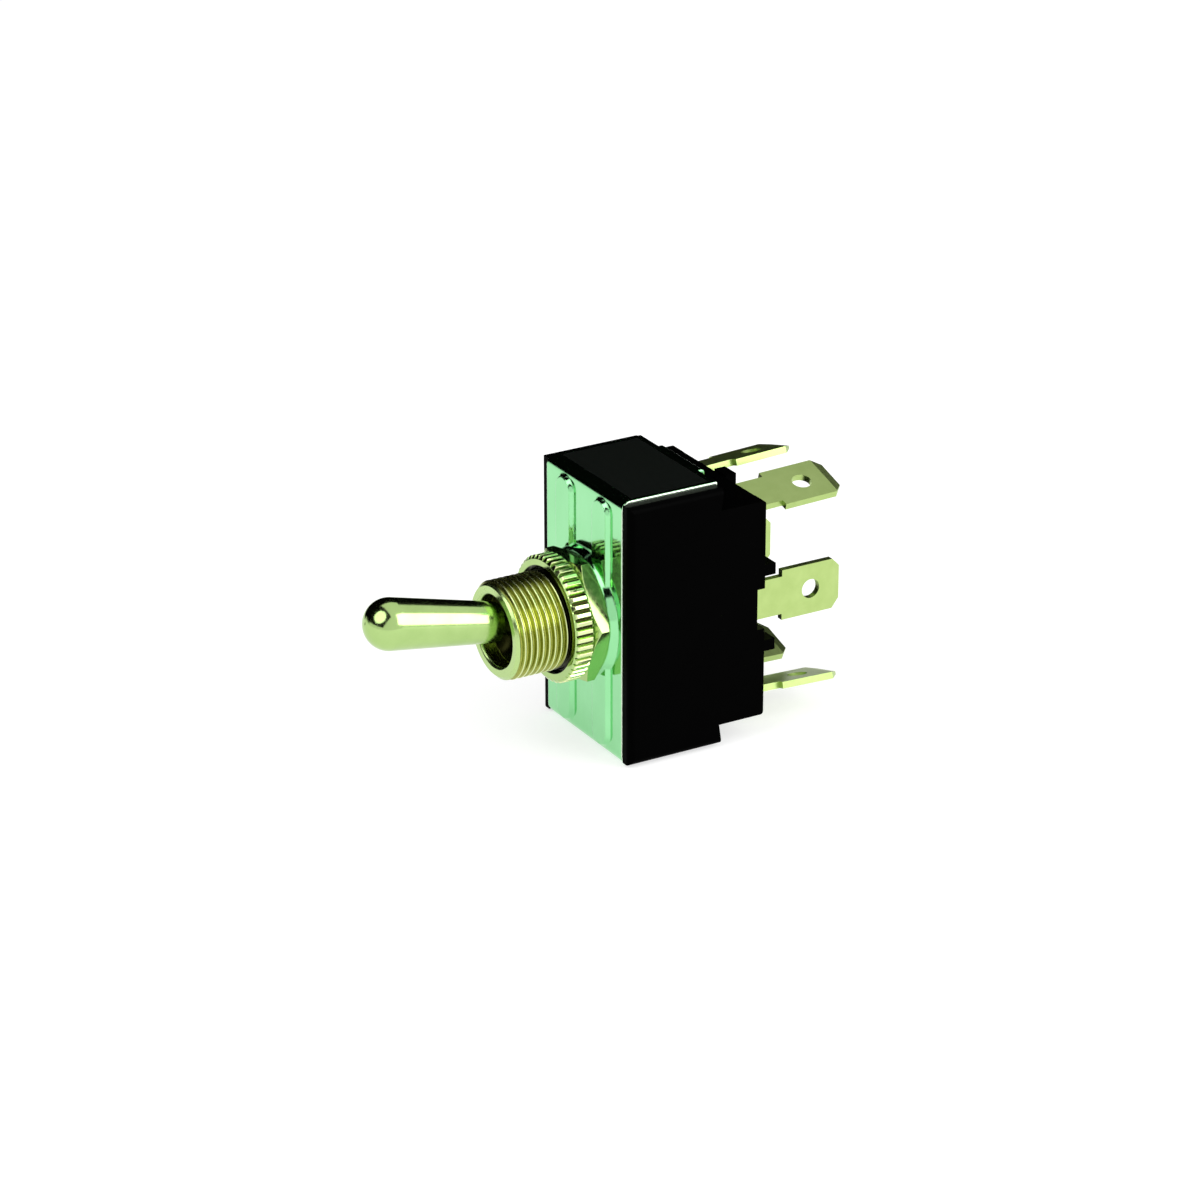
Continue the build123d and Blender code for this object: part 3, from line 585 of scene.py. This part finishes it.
class SWITCH_OT_frame(bpy.types.Operator):
    """Finish the folded frame, with its cut edges and plain dark field, and the liner behind it"""
    bl_idname = "switch.frame"
    bl_label = "Frame"

    def execute(self, context):
        scene = context.scene
        fibre = plain_insulator("pressed_red_fibre", "#7A3A22", "#5C2A18", roughness=0.6, mottle_mm=0.3)
        dress("frame", nickel_sheet(scene.switch_looks, scene.switch_sizes), bevel_mm=0.08)
        dress("liner", fibre)
        return {"FINISHED"}


class SWITCH_OT_bushing(bpy.types.Operator):
    """Cut the bushing's thread and finish its two nuts"""
    bl_idname = "switch.bushing"
    bl_label = "Bushing and nuts"

    def execute(self, context):
        look, sizes = context.scene.switch_looks, context.scene.switch_sizes
        vertices, faces = threaded_bushing(sizes)
        piece = add_piece("threaded_bushing", "body", nickel_on_thread(look, sizes), vertices, faces,
                          smooth_angle=radians(75))
        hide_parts("bushing")
        plate = nickel_on_nuts(look, sizes)
        dress("hex_nut", plate, bevel_mm=0.1)
        dress("knurled_nut", plate, bevel_mm=0.06)
        return {"FINISHED"}


class SWITCH_OT_lever(bpy.types.Operator):
    """Finish the bat lever"""
    bl_idname = "switch.lever"
    bl_label = "Lever"

    def execute(self, context):
        dress("lever", nickel_on_brass(context.scene.switch_looks))
        return {"FINISHED"}


class SWITCH_OT_case(bpy.types.Operator):
    """Finish the moulded case"""
    bl_idname = "switch.case"
    bl_label = "Case"

    def execute(self, context):
        dress("case", phenolic(context.scene.switch_looks), bevel_mm=0.15)
        return {"FINISHED"}


class SWITCH_OT_blades(bpy.types.Operator):
    """Finish the six blade terminals"""
    bl_idname = "switch.blades"
    bl_label = "Blades"

    def execute(self, context):
        look = context.scene.switch_looks
        upright, leaning = tinned_blade(look, upright=True), tinned_blade(look, upright=False)
        for side, _ in SIDES:
            dress(f"terminal_middle_{side}", upright, bevel_mm=0.05)
            for level in ("upper", "lower"):
                dress(f"terminal_{level}_{side}", leaning, bevel_mm=0.05)
        return {"FINISHED"}


class SWITCH_OT_mechanism(bpy.types.Operator):
    """Wind the plungers' springs and finish the pieces inside the case"""
    bl_idname = "switch.mechanism"
    bl_label = "Mechanism"

    def execute(self, context):
        sizes = context.scene.switch_sizes
        silver = plain_metal("coined_silver", "#E8E6E0", "#CFCBC2", roughness=(0.22, 0.34))
        strip = plain_metal("silver_on_formed_brass", "#E2DCC4", "#C9BE98", roughness=(0.24, 0.38))
        wire = plain_metal("drawn_spring_steel", "#8E9194", "#6E7174", roughness=(0.20, 0.32))
        brass = plain_metal("turned_brass", "#D9B65C", "#BE9A42", roughness=(0.18, 0.30))
        nylon = plain_insulator("moulded_natural_nylon", "#E4DECC", "#D6CFB8", roughness=0.42, mottle_mm=0.8)
        dress("holder", nylon)
        dress("pivot_pin", wire)
        for side, sign in SIDES:
            dress(f"plunger_{side}", brass)
            self.wind_spring(sizes, wire, side, sign)
            dress(f"rocker_{side}", strip)
            for level in ("upper", "lower"):
                dress(f"moving_contact_{level}_{side}", silver)
                dress(f"fixed_contact_{level}_{side}", silver)
        return {"FINISHED"}

    def wind_spring(self, sizes, wire, side, sign):
        """A plunger's spring, wound along the plunger's own axis, which rides on the lever."""
        slide = joint(f"plunger_{side}_slide")
        along, travel = -Vector(slide["axis"]).normalized(), slide["range_m"][1]
        pivot = Vector(joint("lever_pivot")["pos_m"])
        seat = pivot + along * sizes.spring_seat + ACROSS * (sign * sizes.pole)
        vertices, faces = coil_spring(sizes, seat, along)
        spring = add_piece(f"wound_spring_{side}", "lever", wire, vertices, faces, smooth_angle=radians(60))
        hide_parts(f"plunger_spring_{side}")
        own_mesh(spring)


class SWITCH_OT_stage(bpy.types.Operator):
    """Set the camera, the floor, the dark cards, the softboxes and the room"""
    bl_idname = "switch.stage"
    bl_label = "Stage"

    # Ways from the switch, and places and sizes in metres
    front_way = Vector((0.08, -0.73, 0.69))
    side_low_way, side_high_way = Vector((0.82, 0.50, 0.12)), Vector((0.38, 0.56, 0.70))
    lamp_distance, front_card_distance, card_behind_distance = 0.5, 0.56, 0.13
    floor_level, floor_side = CAD_BOX[0].z, 3.0

    def execute(self, context):
        scene = context.scene
        stage = scene.switch_stage
        back = self.set_camera(scene, stage)
        self.card(scene, "floor", UPRIGHT * self.floor_level, facing=UPRIGHT, along=(0, 1, 0),
                  width=self.floor_side, height=self.floor_side, finish=self.white_floor(stage))
        self.set_dark_cards(scene, back)
        self.set_lamps(scene, stage)
        self.set_room(scene, stage)
        scene.view_settings.view_transform = "Standard"
        return {"FINISHED"}

    def set_camera(self, scene, stage):
        """Adds the camera and returns the direction from its target back to it."""
        back = Vector((sin(stage.azimuth) * cos(stage.elevation), -cos(stage.azimuth) * cos(stage.elevation),
                       sin(stage.elevation)))
        right = Vector((cos(stage.azimuth), sin(stage.azimuth), 0))
        up = back.cross(right)
        rolled_right = right * cos(stage.roll) + up * sin(stage.roll)
        rolled_up = up * cos(stage.roll) - right * sin(stage.roll)
        place = Vector((stage.target_x, 0, stage.target_z)) + back * stage.distance
        lens = bpy.data.cameras.new("camera")
        lens.sensor_width = 36.0
        lens.lens = stage.focal
        lens.clip_start, lens.clip_end = 0.01, 20.0
        camera = bpy.data.objects.new("camera", lens)
        turn = Matrix((rolled_right, rolled_up, back)).transposed().to_4x4()
        camera.matrix_world = Matrix.Translation(place) @ turn
        scene.collection.objects.link(camera)
        scene.camera = camera
        return back

    def set_dark_cards(self, scene, back):
        """Cards that draw the dark stripes and fields in the bright metal."""
        black = self.black_card()
        away = Vector((-back.x, -back.y, 0)).normalized()
        height = 0.167
        behind = away * self.card_behind_distance + UPRIGHT * (self.floor_level + height / 2)
        in_front = self.front_way * self.front_card_distance
        self.dark_card(scene, "dark_card_behind", behind, facing=-away, along=UPRIGHT,
                       width=0.45, height=height, finish=black)
        self.dark_card(scene, "dark_card_above", (-0.84, 0, 0.6), facing=-UPRIGHT, along=(0, 1, 0),
                       width=0.88, height=2.2, finish=black)
        self.dark_card(scene, "dark_card_left", (-0.55, -0.25, 0.33), facing=(1, 0.45, 0), along=UPRIGHT,
                       width=0.9, height=0.6, finish=black)
        self.dark_card(scene, "dark_card_front", in_front, facing=-in_front, along=ACROSS,
                       width=0.8, height=0.9, finish=black)

    def set_lamps(self, scene, stage):
        """Two softboxes: a round one in front and above, and a long one on the right."""
        front = self.front_way * self.lamp_distance
        self.lamp(scene, "front_softbox", front, stage.front_power, along=ACROSS, width=0.46)
        low, high = self.side_low_way * self.lamp_distance, self.side_high_way * self.lamp_distance
        self.lamp(scene, "side_softbox", (low + high) / 2, stage.side_power, along=high - low,
                  width=(high - low).length, height=0.40)

    def set_room(self, scene, stage):
        """A room that is white where it is seen and lights the switch more softly."""
        world = bpy.data.worlds.new("white_studio")
        world.use_nodes = True
        tree = world.node_tree
        tree.nodes.clear()
        fill = add_node(tree, "ShaderNodeBackground", {"Color": linear("#FFFFFF"), "Strength": stage.fill})
        white = add_node(tree, "ShaderNodeBackground", {"Color": linear("#FFFFFF"), "Strength": 1.0})
        both = add_node(tree, "ShaderNodeMixShader", {0: self.seen(tree), 1: fill.outputs["Background"],
                                                      2: white.outputs["Background"]})
        add_node(tree, "ShaderNodeOutputWorld", {"Surface": both.outputs["Shader"]})
        scene.world = world

    def seen(self, tree):
        """1 for rays that the camera sees directly, mirrored or through glass."""
        path = add_node(tree, "ShaderNodeLightPath")
        mirrored = add_node(tree, "ShaderNodeMath", {0: path.outputs["Is Camera Ray"],
                                                     1: path.outputs["Is Glossy Ray"]}, operation="MAXIMUM")
        either = add_node(tree, "ShaderNodeMath", {0: mirrored.outputs["Value"],
                                                   1: path.outputs["Is Transmission Ray"]},
                          operation="MAXIMUM")
        return either.outputs["Value"]

    def white_floor(self, stage):
        """Matt paper that reads as white and still takes the switch's shadow."""
        finish, tree, shader = new_finish("white_floor")
        shader.inputs["Base Color"].default_value = linear(stage.floor)
        shader.inputs["Roughness"].default_value = 1.0
        shader.inputs["Specular IOR Level"].default_value = 0.0
        shader.inputs["Emission Color"].default_value = linear("#FFFFFF")
        glow = add_node(tree, "ShaderNodeMath", {0: self.seen(tree), 1: stage.floor_glow},
                        operation="MULTIPLY")
        tree.links.new(glow.outputs["Value"], shader.inputs["Emission Strength"])
        return finish

    def black_card(self):
        """Matt black board, which gives a mirror nothing but its own dark."""
        finish, tree, shader = new_finish("matt_black_board")
        shader.inputs["Base Color"].default_value = linear("#050505")
        shader.inputs["Roughness"].default_value = 0.9
        shader.inputs["Specular IOR Level"].default_value = 0.0
        return finish

    def card(self, scene, name, centre, facing, along, width, height, finish):
        """A flat card of the stage, with its height along a direction."""
        facing, along = Vector(facing).normalized(), Vector(along).normalized()
        side = along.cross(facing)
        corners = [Vector(centre) + side * (u * width / 2) + along * (v * height / 2)
                   for u, v in ((-1, -1), (1, -1), (1, 1), (-1, 1))]
        mesh = bpy.data.meshes.new(name)
        mesh.from_pydata(corners, [], [(0, 1, 2, 3)])
        mesh.materials.append(finish)
        card = bpy.data.objects.new(name, mesh)
        scene.collection.objects.link(card)
        return card

    def dark_card(self, scene, name, centre, facing, along, width, height, finish):
        """A card that shows only as a reflection in the metal."""
        card = self.card(scene, name, centre, facing, along, width, height, finish)
        card.visible_camera = False
        card.visible_diffuse = False
        card.visible_shadow = False

    def lamp(self, scene, name, place, power, along, width, height=None):
        """A soft light that faces the switch: a disc, or a rectangle if it is given a height."""
        data = bpy.data.lights.new(name, "AREA")
        data.shape = "RECTANGLE" if height else "DISK"
        data.size = width
        if height:
            data.size_y = height
        data.energy = power
        lamp = bpy.data.objects.new(name, data)
        facing = place.normalized()
        across = facing.cross(along).normalized()
        turn = Matrix((across.cross(facing), across, facing)).transposed().to_4x4()
        lamp.matrix_world = Matrix.Translation(place) @ turn
        scene.collection.objects.link(lamp)


OPERATORS = (SWITCH_OT_frame, SWITCH_OT_bushing, SWITCH_OT_lever, SWITCH_OT_case, SWITCH_OT_blades,
             SWITCH_OT_mechanism, SWITCH_OT_stage)


class SWITCH_PT_panel(bpy.types.Panel):
    """Lists the switch's pieces and their settings"""
    bl_idname = "SWITCH_PT_panel"
    bl_label = "Panel toggle switch"
    bl_space_type = "VIEW_3D"
    bl_region_type = "UI"
    bl_category = "Switch"

    def draw(self, context):
        for operator in OPERATORS:
            self.layout.operator(operator.bl_idname)
        for group in (context.scene.switch_looks, context.scene.switch_sizes, context.scene.switch_stage):
            box = self.layout.box()
            for key in group.__annotations__:
                box.prop(group, key)


CLASSES = (SwitchLooks, SwitchSizes, SwitchStage, *OPERATORS, SWITCH_PT_panel)


def register():
    """Registers the classes and hangs the settings on the scene."""
    for kind in CLASSES:
        bpy.utils.register_class(kind)
    bpy.types.Scene.switch_looks = bpy.props.PointerProperty(type=SwitchLooks)
    bpy.types.Scene.switch_sizes = bpy.props.PointerProperty(type=SwitchSizes)
    bpy.types.Scene.switch_stage = bpy.props.PointerProperty(type=SwitchStage)


def unregister():
    """Takes the settings and the classes away again."""
    del bpy.types.Scene.switch_stage
    del bpy.types.Scene.switch_sizes
    del bpy.types.Scene.switch_looks
    for kind in reversed(CLASSES):
        bpy.utils.unregister_class(kind)


def main():
    """Builds the whole picture."""
    register()
    for operator in OPERATORS:
        group, name = operator.bl_idname.split(".")
        getattr(getattr(bpy.ops, group), name)()


if __name__ == "__main__":
    main()
